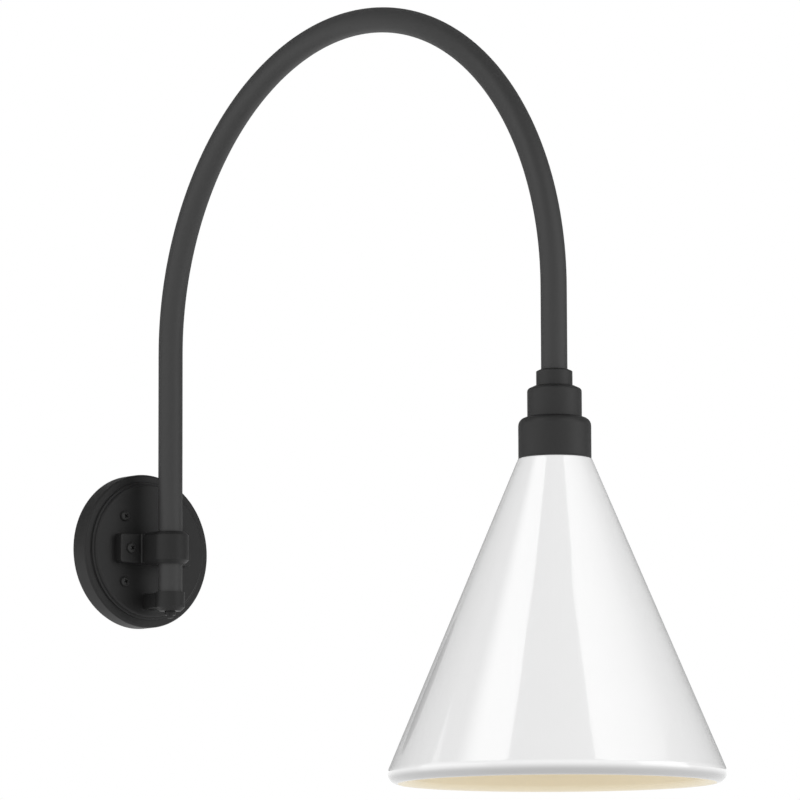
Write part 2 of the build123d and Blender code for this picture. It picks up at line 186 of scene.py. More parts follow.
# %% Metals
zinc_plate = finish(
    "zinc plated steel", (0.56, 0.57, 0.58), (0.7, 0.7, 0.69), (0.25, 0.45),
    0.9 * mm, 5 * mm, 0.01 * mm, Metallic=1.0,
)
dark_steel = finish(
    "blackened steel", grey(0.06), grey(0.1), (0.35, 0.5), 0.3 * mm, 3 * mm, 0.008 * mm, Metallic=1.0,
)
screw_black = finish(
    "black screw", grey(0.011), grey(0.017), (0.4, 0.5), 0.25 * mm, 2 * mm, 0.01 * mm,
    Specular_IOR_Level=0.3,
)
brass = finish(
    "turned brass", (0.68, 0.49, 0.21), (0.79, 0.6, 0.3), (0.22, 0.38),
    0.4 * mm, 4 * mm, 0.006 * mm, Metallic=1.0,
)
lamp_metal = finish(
    "lamp cap metal", grey(0.66), grey(0.76), (0.25, 0.4), 0.4 * mm, 4 * mm, 0.005 * mm, Metallic=1.0,
)

# %% [markdown]
# ## Rubber, plastic, ceramic and glass
# The rest of the hidden stock is foam, rubber and moulded plastic, a glazed ceramic lampholder and a
# lamp of milky glass. The same recipe makes them all. The glaze and the glass get a clear coat, which
# is how a smooth wet-looking skin over a paler body is told to the shader.

# %% Other stock
foam = finish(
    "gasket foam", grey(0.028), grey(0.05), (0.85, 0.95), 0.5 * mm, 3 * mm, 0.15 * mm,
)
rubber = finish(
    "black rubber", grey(0.02), grey(0.03), (0.6, 0.7), 0.4 * mm, 6 * mm, 0.02 * mm,
)
lead_sheath = finish(
    "lead sheath", grey(0.03), grey(0.045), (0.4, 0.5), 0.5 * mm, 8 * mm, 0.015 * mm,
)
black_nylon = finish(
    "black nylon", grey(0.025), grey(0.035), (0.45, 0.55), 0.3 * mm, 5 * mm, 0.012 * mm,
)
white_nylon = finish(
    "white nylon", (0.7, 0.69, 0.64), (0.78, 0.77, 0.72), (0.4, 0.5), 0.4 * mm, 6 * mm, 0.012 * mm,
)
phenolic = finish(
    "black phenolic", (0.022, 0.02, 0.018), (0.034, 0.03, 0.027), (0.25, 0.35),
    0.5 * mm, 6 * mm, 0.008 * mm,
)
ceramic_glaze = finish(
    "ceramic glaze", (0.76, 0.74, 0.68), (0.84, 0.82, 0.76), (0.12, 0.2), 2 * mm, 9 * mm, 0.012 * mm,
    Coat_Weight=0.6, Coat_Roughness=0.04,
)
tip_glass = finish(
    "black lamp glass", grey(0.015), grey(0.025), (0.08, 0.14), 1 * mm, 4 * mm, 0.006 * mm,
)
milk_glass = finish(
    "milky lamp glass", (0.9, 0.89, 0.86), (0.95, 0.94, 0.91), (0.3, 0.36),
    0.6 * mm, 20 * mm, 0.004 * mm, Transmission_Weight=0.25, Coat_Weight=0.5, Coat_Roughness=0.08,
)

# %% [markdown]
# ## Outlines with rounded corners
# Most of this light is round, so most pieces start as a profile of radius and height. Corners are
# written as three numbers, radius, height and how far to round them, because a truly sharp edge never
# catches light. A Bevel modifier could round them later, but then every corner would get one radius.

# %% Rounded outlines
corner_steps = 6


def rounded(corners):
    """Outline through (radius, height, round) corners, with each round laid out as an arc."""
    points = []
    for number, (radius, height, fillet) in enumerate(corners):
        here = Vector((radius, height, 0))
        if fillet == 0:
            points.append(here)
            continue
        after_corner = corners[(number + 1) % len(corners)]
        back = (Vector((*corners[number - 1][:2], 0)) - here).normalized()
        onward = (Vector((*after_corner[:2], 0)) - here).normalized()
        half = back.angle(onward) / 2
        centre = here + (back + onward).normalized() * (fillet / math.sin(half))
        start = (here + back * (fillet / math.tan(half)) - centre).normalized()
        end = (here + onward * (fillet / math.tan(half)) - centre).normalized()
        shares = [step / corner_steps for step in range(corner_steps + 1)]
        points += [centre + start.slerp(end, share) * fillet for share in shares]
    return [(point.x, point.y) for point in points]


def closed(points):
    """The same outline, ending where it began."""
    return [*points, points[0]]


print("one round corner takes", corner_steps + 1, "points")

# %% [markdown]
# ## Turning on a lathe
# The real pieces are turned, spun or pressed. In Blender the same thing is a profile spun a full turn
# about its axis. A Screw modifier would do it too, but the bmesh operator leaves a plain mesh that
# other shapes can be joined to. Its seam is merged and its faces are pointed outwards afterwards.

# %% Lathe
turn_steps = 160
small_steps = 48
merge_gap = 0.002 * mm


def lathe(bm, outline, axis, steps=turn_steps, finish_number=0):
    """Spin one outline a full turn about an upright axis and add it to a bmesh."""
    turned = bmesh.new()
    verts = [turned.verts.new((axis.x + radius, axis.y, axis.z + height)) for radius, height in outline]
    edges = [turned.edges.new(pair) for pair in zip(verts, verts[1:])]
    bmesh.ops.spin(
        turned, geom=verts + edges, cent=axis, axis=(0, 0, 1), angle=math.tau, steps=steps, use_merge=True
    )
    for face in turned.faces:
        face.material_index = finish_number
    mesh = bpy.data.meshes.new("turned")
    turned.to_mesh(mesh)
    turned.free()
    bm.from_mesh(mesh)
    bpy.data.meshes.remove(mesh)


def close_up(bm):
    """Merge the seams of spun shapes and point all faces outwards."""
    bmesh.ops.remove_doubles(bm, verts=bm.verts, dist=merge_gap)
    bmesh.ops.recalc_face_normals(bm, faces=bm.faces)


print("lathe turns in", turn_steps, "steps, small pieces in", small_steps)

# %% [markdown]
# ## From a bmesh to a piece
# A finished piece is an object with its paints, soft shading on its rounds and crisp steps where two
# faces meet at a clear angle. Weighted normals keep large faces flat next to small rounds. Last, it is
# hung on the body of the light it rides on, and the solids it replaces are hidden.

# %% Finished piece
sharp_from = math.radians(38)


def make_piece(bm, name, body, nodes, slot, *materials):
    """Turn a bmesh into a finished piece that hides the CAD nodes it replaces and rides on a body."""
    mesh = bpy.data.meshes.new(name)
    bm.to_mesh(mesh)
    bm.free()
    for material in materials:
        mesh.materials.append(material)
    mesh.shade_smooth()
    mesh.set_sharp_from_angle(angle=sharp_from)
    obj = bpy.data.objects.new(name, mesh)
    scene.collection.objects.link(obj)
    flat = obj.modifiers.new("large faces stay flat", "WEIGHTED_NORMAL")
    flat.keep_sharp = True
    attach(obj, body)
    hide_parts(*nodes)
    print("piece", name, len(mesh.polygons), "faces, for", ", ".join(nodes))
    return obj


# %% [markdown]
# ## The shade's outline
# A flat disc is pressed over a cone-shaped former while both turn, and the edge is rolled under so that
# it is stiff and safe to touch. A cone primitive would have no wall and no lip. So the outline is drawn
# first: a straight line that runs smoothly into an arc, found from the neck, the rim and the roll.

# %% Shade outline
shade_sheet = 1.2 * mm
lip_round = 8 * mm
lip_curl = math.radians(65)
lip_steps = 26
neck_overhang = 0.2 * mm
holder_play = 0.4 * mm
fitter_low, fitter_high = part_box("shade_fitter")
neck_r = fitter_high.x + neck_overhang
shade_hole_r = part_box("lampholder")[1].x + holder_play
lip_r = shade_high.x - lip_round
lip_z = shade_low.z + lip_round
run = Vector((lip_r - neck_r, lip_z - shade_high.z))
slope = math.atan2(run.y, run.x) + math.asin(lip_round / run.length)
lip_angles = (slope + math.pi / 2, -math.pi / 2 - lip_curl)


def lip_line(radius):
    """The rolled lip at one distance from its centre, from the cone to the curled edge."""
    first, last = lip_angles
    angles = [first + (last - first) * step / lip_steps for step in range(lip_steps + 1)]
    return [(lip_r + radius * math.cos(angle), lip_z + radius * math.sin(angle)) for angle in angles]


outer_lip = lip_line(lip_round)
wall_start = lip_line(lip_round - shade_sheet)[0]
print("cone half angle", round(math.degrees(math.atan2(run.x, -run.y)), 1))

# %% [markdown]
# ## The spun shade
# The outside and the inside are two profiles spun one after the other, so that each side takes its own
# paint. One profile with a Solidify modifier would be shorter, but the lip would get two walls. Here
# the hollow of the roll is closed: the cream skin runs straight on from the lip until it meets the wall.

# %% Spun shade
def inner_face(height):
    """Point of the shade's inner face at a height."""
    return (wall_start[0] + (height - wall_start[1]) / math.tan(slope), height)


white_steps = 16
hem_rise = 100 * mm
neck_shoulder = 1.6 * mm
top_under = shade_high.z - shade_sheet
shoulder = rounded([
    (shade_hole_r, shade_high.z, 0),
    (neck_r, shade_high.z, neck_shoulder),
    (*outer_lip[0], 0),
])
outside = [(shade_hole_r, top_under), *shoulder, *outer_lip[1:white_steps + 1]]
hem = [*outer_lip[white_steps:], inner_face(lip_z + hem_rise)]
inside = [*hem, inner_face(top_under), (shade_hole_r, top_under)]
bm = bmesh.new()
lathe(bm, outside, head_axis)
lathe(bm, inside, head_axis, finish_number=1)
close_up(bm)
make_piece(bm, "spun_shade", "arm", ["shade"], "shade_enamel", white_enamel, cream_enamel)

# %% [markdown]
# ## Painted shade on the lip
# The underside of the rolled lip lies in shade, and that shade is painted into the white: it turns
# greyer towards the lowest edge, and its clear coat weakens with it, so less is mirrored there. A second
# material would leave a hard line there, like masking tape. The white paint's own nodes read the height
# instead and let the painted shade in colour and coat run in together.

# %% Painted shade on the lip
def paint_shade_by_height(material, colour, unshaded_z, deepest_shade_z):
    """Painted shade: between two heights, let a paint and its clear coat run out towards a darker colour.
    """
    nodes, links = material.node_tree.nodes, material.node_tree.links
    shader = nodes["Principled BSDF"]
    tone = shader.inputs["Base Color"].links[0].from_socket
    place = nodes.new("ShaderNodeTexCoord")
    split = nodes.new("ShaderNodeSeparateXYZ")
    # Painted shade: a height mask, 0 above the shade and 1 at its deepest
    shade_amount = nodes.new("ShaderNodeMapRange")
    shade_amount.interpolation_type = "SMOOTHSTEP"
    shade_amount.inputs["From Min"].default_value = unshaded_z
    shade_amount.inputs["From Max"].default_value = deepest_shade_z
    # The paint's own tone mixed towards the painted shade colour
    under = nodes.new("ShaderNodeMix")
    under.data_type = "RGBA"
    under.inputs["B"].default_value = (*colour, 1)
    # The clear coat weakened by the same painted shade
    clear = nodes.new("ShaderNodeMath")
    clear.operation = "SUBTRACT"
    clear.inputs[0].default_value = shader.inputs["Coat Weight"].default_value
    links.new(place.outputs["Object"], split.inputs[0])
    links.new(split.outputs["Z"], shade_amount.inputs["Value"])
    links.new(shade_amount.outputs["Result"], under.inputs["Factor"])
    links.new(tone, under.inputs["A"])
    links.new(under.outputs["Result"], shader.inputs["Base Color"])
    links.new(shade_amount.outputs["Result"], clear.inputs[1])
    links.new(clear.outputs[0], shader.inputs["Coat Weight"])


# Painted shade on the lip's underside: full white above the first height, full shade colour at the second
lip_shade_top_z = lip_z + 1.2 * mm
lip_shade_bottom_z = lip_z - 4.8 * mm
# grey(0.5) is the colour of the painted shade
paint_shade_by_height(white_enamel, grey(0.5), lip_shade_top_z, lip_shade_bottom_z)
# Prints how tall the band of painted shade is
print("white paint thins over", round((lip_shade_top_z - lip_shade_bottom_z) / mm, 1), "mm")

# %% [markdown]
# ## The fitter
# Above the shade the cap grows narrower in three steps: the fitter that holds the shade, the cup over
# the lampholder's wires, and the collar on the tube. On the real light these are spun or turned pieces
# stacked on one threaded tube, so each is its own outline here, with the shoulders that light rolls
# over. The fitter is the widest, with a soft shoulder and a wall that is hollow below.

# %% Fitter
cap_wall = 2 * mm
cap_edge = 0.5 * mm
fitter_shoulder = 6.4 * mm
fitter_roof = 3 * mm
fitter_r = fitter_high.x
fitter_bore = fitter_r - cap_wall
fitter_corners = [
    (shade_hole_r, fitter_high.z, 0),
    (fitter_r, fitter_high.z, fitter_shoulder),
    (fitter_r, fitter_low.z, cap_edge),
    (fitter_bore, fitter_low.z, cap_edge),
    (fitter_bore, fitter_high.z - fitter_roof, fitter_shoulder - cap_wall),
    (shade_hole_r, fitter_high.z - fitter_roof, 0),
]
bm = bmesh.new()
lathe(bm, closed(rounded(fitter_corners)), head_axis)
close_up(bm)
make_piece(bm, "cap_fitter", "arm", ["shade_fitter"], "black_powder_coat", cap_coat)

# %% [markdown]
# ## The cup
# The cup's top slopes down a little before it turns over into the wall. A single large round would
# look like the fitter's, so the slope and the round are kept apart: one flat corner, one soft one.

# %% Cup
cup_low, cup_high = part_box("socket_cup")
cup_bevel = (5.6 * mm, 2.6 * mm)
cup_shoulder = 2.8 * mm
cup_roof = 4 * mm
nipple_play = 0.2 * mm
nipple_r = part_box("nipple")[1].x + nipple_play
cup_corners = [
    (nipple_r, cup_high.z, 0),
    (cup_high.x - cup_bevel[0], cup_high.z, cap_edge),
    (cup_high.x, cup_high.z - cup_bevel[1], cup_shoulder),
    (cup_high.x, cup_low.z, cap_edge),
    (cup_high.x - cap_wall, cup_low.z, cap_edge),
    (cup_high.x - cap_wall, cup_high.z - cup_roof, 0),
    (nipple_r, cup_high.z - cup_roof, 0),
]
bm = bmesh.new()
lathe(bm, closed(rounded(cup_corners)), head_axis)
close_up(bm)
make_piece(bm, "cap_cup", "arm", ["socket_cup"], "black_powder_coat", cap_coat)

# %% [markdown]
# ## The swan-neck
# The arm is one length of tube, bent over a round former. Spinning a ring of points does just what the
# bender does: the ring is drawn up the straight stem, turned half a circle about the middle of the arch
# and drawn down the outer leg. A curve with a bevel would look the same, but the steps here can be seen.

# %% Tube tools
tube_low, tube_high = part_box("gooseneck_arm")
tube_r = tube_high.x


def draw_along(bm, ring, shift):
    """Extrude a ring of edges and move the new ring by a shift."""
    drawn = bmesh.ops.extrude_edge_only(bm, edges=ring)["geom"]
    bmesh.ops.translate(bm, verts=[g for g in drawn if isinstance(g, bmesh.types.BMVert)], vec=shift)
    return [g for g in drawn if isinstance(g, bmesh.types.BMEdge) and g.is_boundary]


def edges_at(bm, point):
    """Boundary edges of the tube's end that is nearest to a point."""
    ends = [edge for edge in bm.edges if edge.is_boundary]
    return [e for e in ends if ((e.verts[0].co + e.verts[1].co) / 2 - point).length < 2 * tube_r]


print("tube", round(2 * tube_r / mm, 2), "mm across")

# %% Swan-neck tube
tube_wall = 1.5 * mm
tube_sides = 72
arch_steps = 120
leg_stop = 3 * mm
arch_r = (stem_axis.y - head_axis.y) / 2
spring_z = tube_high.z - tube_r - arch_r
leg_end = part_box("arm_collar")[0].z + leg_stop
tube_foot = Matrix.Translation((0, stem_axis.y, tube_low.z))
arch_middle = Vector((0, (stem_axis.y + head_axis.y) / 2, spring_z))
leg_top = Vector((0, head_axis.y, spring_z))
bm = bmesh.new()
bmesh.ops.create_circle(bm, segments=tube_sides, radius=tube_r, matrix=tube_foot)
stem_top = draw_along(bm, list(bm.edges), (0, 0, spring_z - tube_low.z))
top_verts = list({vert for edge in stem_top for vert in edge.verts})
bmesh.ops.spin(
    bm, geom=top_verts + stem_top, cent=arch_middle, axis=(1, 0, 0), angle=math.pi, steps=arch_steps
)
draw_along(bm, edges_at(bm, leg_top), (0, 0, leg_end - spring_z))
close_up(bm)
bmesh.ops.solidify(bm, geom=bm.faces[:], thickness=tube_wall)
make_piece(bm, "bent_tube", "arm", ["gooseneck_arm"], "black_powder_coat", tube_coat)
print("arch radius", round(arch_r / mm, 1), "spring height", round(spring_z / mm, 1))

# %% [markdown]
# ## The wall plate's outline
# The plate is a shallow casting with a wide rim, a flat ring, a small bead and a raised face, hollow
# behind, where the wires lie. Stacked cylinders would show the steps but not the soft edges of a
# casting. So the outline is drawn as the cap's are, with its own round at each corner.

# %% Plate outline
plate_low, plate_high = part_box("wall_plate")
plate_r = plate_high.x
plate_back = -plate_high.y
plate_face = -plate_low.y
plate_wall = 3 * mm
ring_width = 6.3 * mm
bead_width = 2 * mm
bead_rise = 2.2 * mm
face_rise = 4.5 * mm
crease = 0.3 * mm
hollow_round = 1 * mm
ring_z = plate_face - face_rise
ring_r = plate_r - ring_width
face_r = ring_r - bead_width
plate_corners = [
    (0, plate_face, 0),
    (face_r, plate_face, 1.8 * mm),
    (face_r, ring_z + bead_rise, crease),
    (ring_r, ring_z + bead_rise, 0.9 * mm),
    (ring_r, ring_z, crease),
    (plate_r, ring_z, 2 * mm),
    (plate_r, plate_back, 0.5 * mm),
    (plate_r - plate_wall, plate_back, crease),
    (plate_r - plate_wall, ring_z - plate_wall, hollow_round),
    (face_r - plate_wall, ring_z - plate_wall, 0),
    (face_r - plate_wall, plate_face - plate_wall, hollow_round),
    (0, plate_face - plate_wall, 0),
]
print("plate", round(2 * plate_r / mm, 1), "mm across,", round(plate_face / mm, 1), "mm deep")

# %% [markdown]
# ## The wall plate
# Behind the face stand six posts, bored for the screws. Plate and posts are spun while the plate lies
# on its back, because a lathe turns about an upright axis, and then the whole bmesh is stood up against
# the wall in one move. Turning the object instead would leave its grain turned as well.

# %% Wall plate
post_r = 5 * mm
post_bore = 2.2 * mm
post_end = 2.5 * mm
post_sink = 0.5 * mm
post_edge = 0.4 * mm
plate_head_r = 4.1 * mm
screw_low, screw_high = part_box("plate_screws")
screw_x = screw_high.x - plate_head_r
screw_z = screw_high.z - plate_head_r
clamp_low, clamp_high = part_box("clamp_screws")
clamp_head_r = clamp_high.z
clamp_x = clamp_high.x - clamp_head_r
plate_places = [Vector((x, z, 0)) for x in (-screw_x, screw_x) for z in (-screw_z, screw_z)]
clamp_places = [Vector((-clamp_x, 0, 0)), Vector((clamp_x, 0, 0))]
to_wall = Matrix.Rotation(math.pi / 2, 4, "X")
post_top = plate_face - plate_wall + post_sink
post = closed(rounded([
    (post_bore, post_end, 0),
    (post_r, post_end, post_edge),
    (post_r, post_top, 0),
    (post_bore, post_top, 0),
]))
bm = bmesh.new()
lathe(bm, rounded(plate_corners), wall_axis)
for place in plate_places + clamp_places:
    lathe(bm, post, place, small_steps)
close_up(bm)
bmesh.ops.transform(bm, matrix=to_wall, verts=bm.verts)
make_piece(bm, "cast_wall_plate", "root", ["wall_plate"], "black_powder_coat", casting_coat)

# %% [markdown]
# ## Castings from the solid model
# The clamp and the foot are small castings full of bores and flats that already fit, and so are the
# collar and the plug. Modelling them again would only risk that fit, so their meshes are copied, merged
# into whole faces and given the broken edge that every casting has. The original nodes stay as they are
# and step out of view.

# %% Clamp, foot, collar and plug
def broken_edges(node, edge):
    """Copy of a CAD node's mesh with its seams merged and its sharp edges bevelled."""
    flat_within = math.radians(0.5)
    sharp_over = math.radians(35)
    bm = bmesh.new()
    bm.from_mesh(frame["nodes"][node].data)
    bmesh.ops.remove_doubles(bm, verts=bm.verts, dist=merge_gap)
    bmesh.ops.dissolve_limit(
        bm, angle_limit=flat_within, verts=bm.verts, edges=bm.edges, use_dissolve_boundaries=False
    )
    sharp = [e for e in bm.edges if e.is_manifold and e.calc_face_angle() > sharp_over]
    bmesh.ops.bevel(
        bm, geom=sharp, offset=edge, affect="EDGES", segments=2, profile=0.5, material=-1,
        clamp_overlap=True,
    )
    return bm


castings = [
    ("stem_clamp", "cast_clamp", "root", 0.4 * mm, casting_coat),
    ("stem_foot", "cast_foot", "root", 0.35 * mm, casting_coat),
    ("arm_collar", "cap_collar", "arm", 0.3 * mm, cap_coat),
    ("foot_plug", "turned_plug", "root", 0.4 * mm, casting_coat),
]
for node, name, body, edge, coat in castings:
    make_piece(broken_edges(node, edge), name, body, [node], "black_powder_coat", coat)

# %% [markdown]
# ## A cross recess
# The cross is what makes a small dome read as a screw, and on the real one it is punched in. It could
# be painted on, but then no edge would catch light. Here two tapered blades are pushed into the head
# and taken away by a boolean. The objects that it needs are thrown away when the cut is made.

# %% Cross cutter
blade_taper = 0.45


def cross_blades(width, length, top, depth):
    """Closed cutter of two crossed blades that taper towards the bottom."""
    bm = bmesh.new()
    for quarter in (0, math.pi / 2):
        lift = Matrix.Translation((0, 0, top - depth / 2))
        size = Matrix.Diagonal((length, width, depth * 2, 1))
        blade = bmesh.ops.create_cube(bm, size=1, matrix=lift @ Matrix.Rotation(quarter, 4, "Z") @ size)
        low = [vert for vert in blade["verts"] if vert.co.z < top - depth / 2]
        bmesh.ops.scale(bm, vec=(blade_taper, blade_taper, 1), verts=low)
    return bm


def cut_out(body_bm, cutter_bm):
    """What is left of a closed bmesh when a cutter is taken from it."""
    objects = []
    for name, part in (("cut body", body_bm), ("cutter", cutter_bm)):
        mesh = bpy.data.meshes.new(name)
        part.to_mesh(mesh)
        part.free()
        objects.append(bpy.data.objects.new(name, mesh))
        scene.collection.objects.link(objects[-1])
    boolean = objects[0].modifiers.new("cut", "BOOLEAN")
    boolean.object = objects[1]
    boolean.operation = "DIFFERENCE"
    boolean.solver = "EXACT"
    boolean.use_self = True
    scene_graph = bpy.context.evaluated_depsgraph_get()
    left = bpy.data.meshes.new_from_object(objects[0].evaluated_get(scene_graph))
    bm = bmesh.new()
    bm.from_mesh(left)
    for obj in objects:
        bpy.data.meshes.remove(obj.data)
    bpy.data.meshes.remove(left)
    return bm


print("blades taper to", blade_taper)

# %% [markdown]
# ## Pan-head screws
# A pan head is a low dome on a straight shank. One screw is turned lying along Z and its cross is cut.
# Linked copies of one object would be lighter, but a set of screws is one piece of the solid model, so
# the copies go into one mesh, each turned by a different amount, as a hand leaves them.

# %% Screw tools
def pan_screw(shank_r, shank_low, seat, head_r, head_h):
    """Pan-head screw along Z, with a cross cut in its head."""
    corners = [
        (0, shank_low, 0),
        (shank_r, shank_low, 0.3 * mm),
        (shank_r, seat, 0),
        (head_r, seat, 0.15 * mm),
        (head_r, seat + head_h, 0.62 * head_h),
        (0, seat + head_h, 0),
    ]
    bm = bmesh.new()
    lathe(bm, rounded(corners), wall_axis, small_steps)
    close_up(bm)
    return cut_out(bm, cross_blades(0.3 * head_r, 1.15 * head_r, seat + head_h, 0.75 * head_h))


def screw_set(screw, places, first_turn, turn_step):
    """Copies of one screw at several places on the wall plate, each turned a little further."""
    mesh = bpy.data.meshes.new("one screw")
    screw.to_mesh(mesh)
    screw.free()
    bm = bmesh.new()
    for number, place in enumerate(places):
        known = set(bm.verts)
        bm.from_mesh(mesh)
        turn = Matrix.Rotation(first_turn + number * turn_step, 4, "Z")
        new = [vert for vert in bm.verts if vert not in known]
        bmesh.ops.transform(bm, matrix=to_wall @ Matrix.Translation(place) @ turn, verts=new)
    bpy.data.meshes.remove(mesh)
    return bm


# %% Screws
plate_shank_r = 2 * mm
plate_head_h = -screw_low.y - plate_face
screw = pan_screw(plate_shank_r, 0, plate_face, plate_head_r, plate_head_h)
bm = screw_set(screw, plate_places, math.radians(20), math.radians(37))
make_piece(bm, "plate_pan_screws", "root", ["plate_screws"], "black_screw", screw_black)
clamp_shank_r = 2.25 * mm
clamp_head_h = 2.8 * mm
ear_front = -clamp_low.y - clamp_head_h
screw = pan_screw(clamp_shank_r, post_end, ear_front, clamp_head_r, clamp_head_h)
bm = screw_set(screw, clamp_places, math.radians(50), math.radians(25))
make_piece(bm, "clamp_pan_screws", "root", ["clamp_screws"], "black_screw", screw_black)

# %% [markdown]
# ## The lamp
# The lamp is blown glass: a straight neck in the metal cap, a flare, and a ball. A sphere joined to a
# cylinder would show a crease. The flare and the ball are two arcs that meet smoothly, found from the
# ball's radius, the neck and the height between them. The glass is a wall with two sides.

# %% Lamp outline
glass_low, glass_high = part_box("bulb_glass")
cap_low, cap_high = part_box("bulb_cap")
cap_sheet = 0.55 * mm
neck_length = 10 * mm
glass_steps = 16
ball_r = glass_high.x
ball_z = glass_low.z + ball_r
glass_neck_r = cap_high.x - cap_sheet
flare_z = cap_low.z - neck_length
flare_drop = flare_z - ball_z
flare_r = (flare_drop**2 + glass_neck_r**2 - ball_r**2) / (2 * (ball_r - glass_neck_r))
flare_x = glass_neck_r + flare_r
meet = math.atan2(flare_drop, flare_x)


def on_arc(centre_r, centre_z, radius, angle):
    """Point of an outline on an arc about a centre."""
    return (centre_r + radius * math.cos(angle), centre_z + radius * math.sin(angle))


def glass_line(inset):
    """Half outline of the glass, from its neck to the bottom of the ball, set in by a distance."""
    line = [(flare_x - flare_r - inset, glass_high.z)]
    for step in range(glass_steps + 1):
        angle = math.pi + meet * step / glass_steps
        line.append(on_arc(flare_x, flare_z, flare_r + inset, angle))
    for step in range(1, 2 * glass_steps + 1):
        angle = meet - (meet + math.pi / 2) * step / (2 * glass_steps)
        line.append(on_arc(0, ball_z, ball_r - inset, angle))
    return line


print("flare and ball meet at", round(math.degrees(meet), 1), "degrees")

# %% Lamp glass
glass_wall = 1 * mm
glass_turns = 80
glass_outside = glass_line(0)
glass_inside = glass_line(glass_wall)
bm = bmesh.new()
lathe(bm, [glass_inside[0], *glass_outside], head_axis, glass_turns)
lathe(bm, glass_inside, head_axis, glass_turns)
close_up(bm)
make_piece(bm, "lamp_glass", "arm", ["bulb_glass"], "frosted_glass", milk_glass)

# %% [markdown]
# ## Pieces that stay as they are
# What is hidden in the cap, in the foot or behind the plate has the right shape already. Those nodes
# stay and only take a finish, which is set on the material slots of their own objects.

# %% Finishes on CAD nodes
stock = {
    zinc_plate: ["mount_plate", "foot_screws", "nipple", "lock_nut"],
    brass: ["earth_screw", "terminal_screws", "screw_shell", "centre_contact"],
    foam: ["wall_gasket"],
    rubber: ["shade_gasket"],
    lead_sheath: ["supply_lead", "arm_lead"],
    black_nylon: ["hub_bush", "thrust_washer"],
    white_nylon: ["terminal_block"],
    phenolic: ["shade_ring"],
    ceramic_glaze: ["lampholder"],
    dark_steel: ["collar_grub_screw"],
    lamp_metal: ["bulb_cap"],
    tip_glass: ["bulb_tip"],
}
for material, nodes in stock.items():
    for node in nodes:
        slots = frame["nodes"][node].data.materials
        slots.clear()
        slots.append(material)
    print(material.name, "on", ", ".join(nodes))

# %% [markdown]
# ## White surroundings
# The light hangs free in a white studio. The world is plain white wherever the camera, a reflection or
# glass looks at it, and a touch dimmer as a lamp, so that pale paint keeps its shading. Nothing of it
# has to be modelled, and the picture's background is white without more light on the object.

# %% World
ambient = 0.96
world = bpy.data.worlds.new("white studio")
scene.world = world
world.use_nodes = True
nodes, links = world.node_tree.nodes, world.node_tree.links
backdrop = nodes["Background"]
backdrop.inputs["Color"].default_value = (1, 1, 1, 1)
ray = nodes.new("ShaderNodeLightPath")
seen = nodes.new("ShaderNodeMath")
seen.operation = "ADD"
seen_or_glass = nodes.new("ShaderNodeMath")
seen_or_glass.operation = "ADD"
seen_or_glass.use_clamp = True
level = nodes.new("ShaderNodeMapRange")
level.inputs["To Min"].default_value = ambient
level.inputs["To Max"].default_value = 1.0
links.new(ray.outputs["Is Camera Ray"], seen.inputs[0])
links.new(ray.outputs["Is Glossy Ray"], seen.inputs[1])
links.new(seen.outputs[0], seen_or_glass.inputs[0])
links.new(ray.outputs["Is Transmission Ray"], seen_or_glass.inputs[1])
links.new(seen_or_glass.outputs[0], level.inputs["Value"])
links.new(level.outputs["Result"], backdrop.inputs["Strength"])
print("world ambient", ambient)

# %% [markdown]
# ## The floor
# A barn light hangs well above the ground, so the floor is a pale disc two and a half metres below. A
# plane with a hard rim would show as a line in views from above, so the disc runs out softly into the
# white around it. It is clear from its back, so that it doesn't hide the light from underneath.

# %% Floor
def round_card(radius, centre):
    """Flat round card about a centre."""
    bm = bmesh.new()
    place = Matrix.Translation(centre)
    bmesh.ops.create_circle(bm, cap_ends=True, segments=96, radius=radius, matrix=place)
    return bm


def stage_card(name, material, bm):
    """Object of the studio itself, which is no part of the light."""
    mesh = bpy.data.meshes.new(name)
    bm.to_mesh(mesh)
    bm.free()
    mesh.materials.append(material)
    card = bpy.data.objects.new(name, mesh)
    scene.collection.objects.link(card)
    print("card", name)
    return card


floor_centre = (0, -0.4, -2.6)
floor_r = 1.8
floor_fade = 1.0
pale_floor = finish("pale floor", grey(0.82), grey(0.85), (0.7, 0.8), 4 * mm, 300 * mm, 0.02 * mm)
stage_card("floor", pale_floor, round_card(floor_r, floor_centre))

# %% Soft rim and clear back of the floor
nodes, links = pale_floor.node_tree.nodes, pale_floor.node_tree.links
place = nodes.new("ShaderNodeTexCoord")
reach = nodes.new("ShaderNodeVectorMath")
reach.operation = "DISTANCE"
reach.inputs[1].default_value = floor_centre
rim = nodes.new("ShaderNodeMapRange")
rim.interpolation_type = "SMOOTHSTEP"
rim.inputs["From Min"].default_value = floor_r
rim.inputs["From Max"].default_value = floor_r - floor_fade
side = nodes.new("ShaderNodeNewGeometry")
front = nodes.new("ShaderNodeMath")
front.operation = "SUBTRACT"
front.use_clamp = True
links.new(place.outputs["Object"], reach.inputs[0])
links.new(reach.outputs["Value"], rim.inputs["Value"])
links.new(rim.outputs["Result"], front.inputs[0])
links.new(side.outputs["Backfacing"], front.inputs[1])
links.new(front.outputs[0], nodes["Principled BSDF"].inputs["Alpha"])
print("floor fades over its last", floor_fade, "m")

# %% [markdown]
# ## Grey cards
# Two more cards hang where the camera doesn't see them, as a product photographer hangs them. A grey
# one overhead keeps some light off the top of the arm. Another is bent round behind, where its
# reflection draws a soft grey line down both edges of the white cone. A flat card would mirror in only
# one of the two edges.

# %% Cards
shade_middle = (shade_low + shade_high) / 2
ceiling_centre = (0, -0.4, 1.45)
ceiling_r = 2.5
back_r = 1.9
back_heights = (-0.05, 1.4)
back_azimuths = (50, 215)


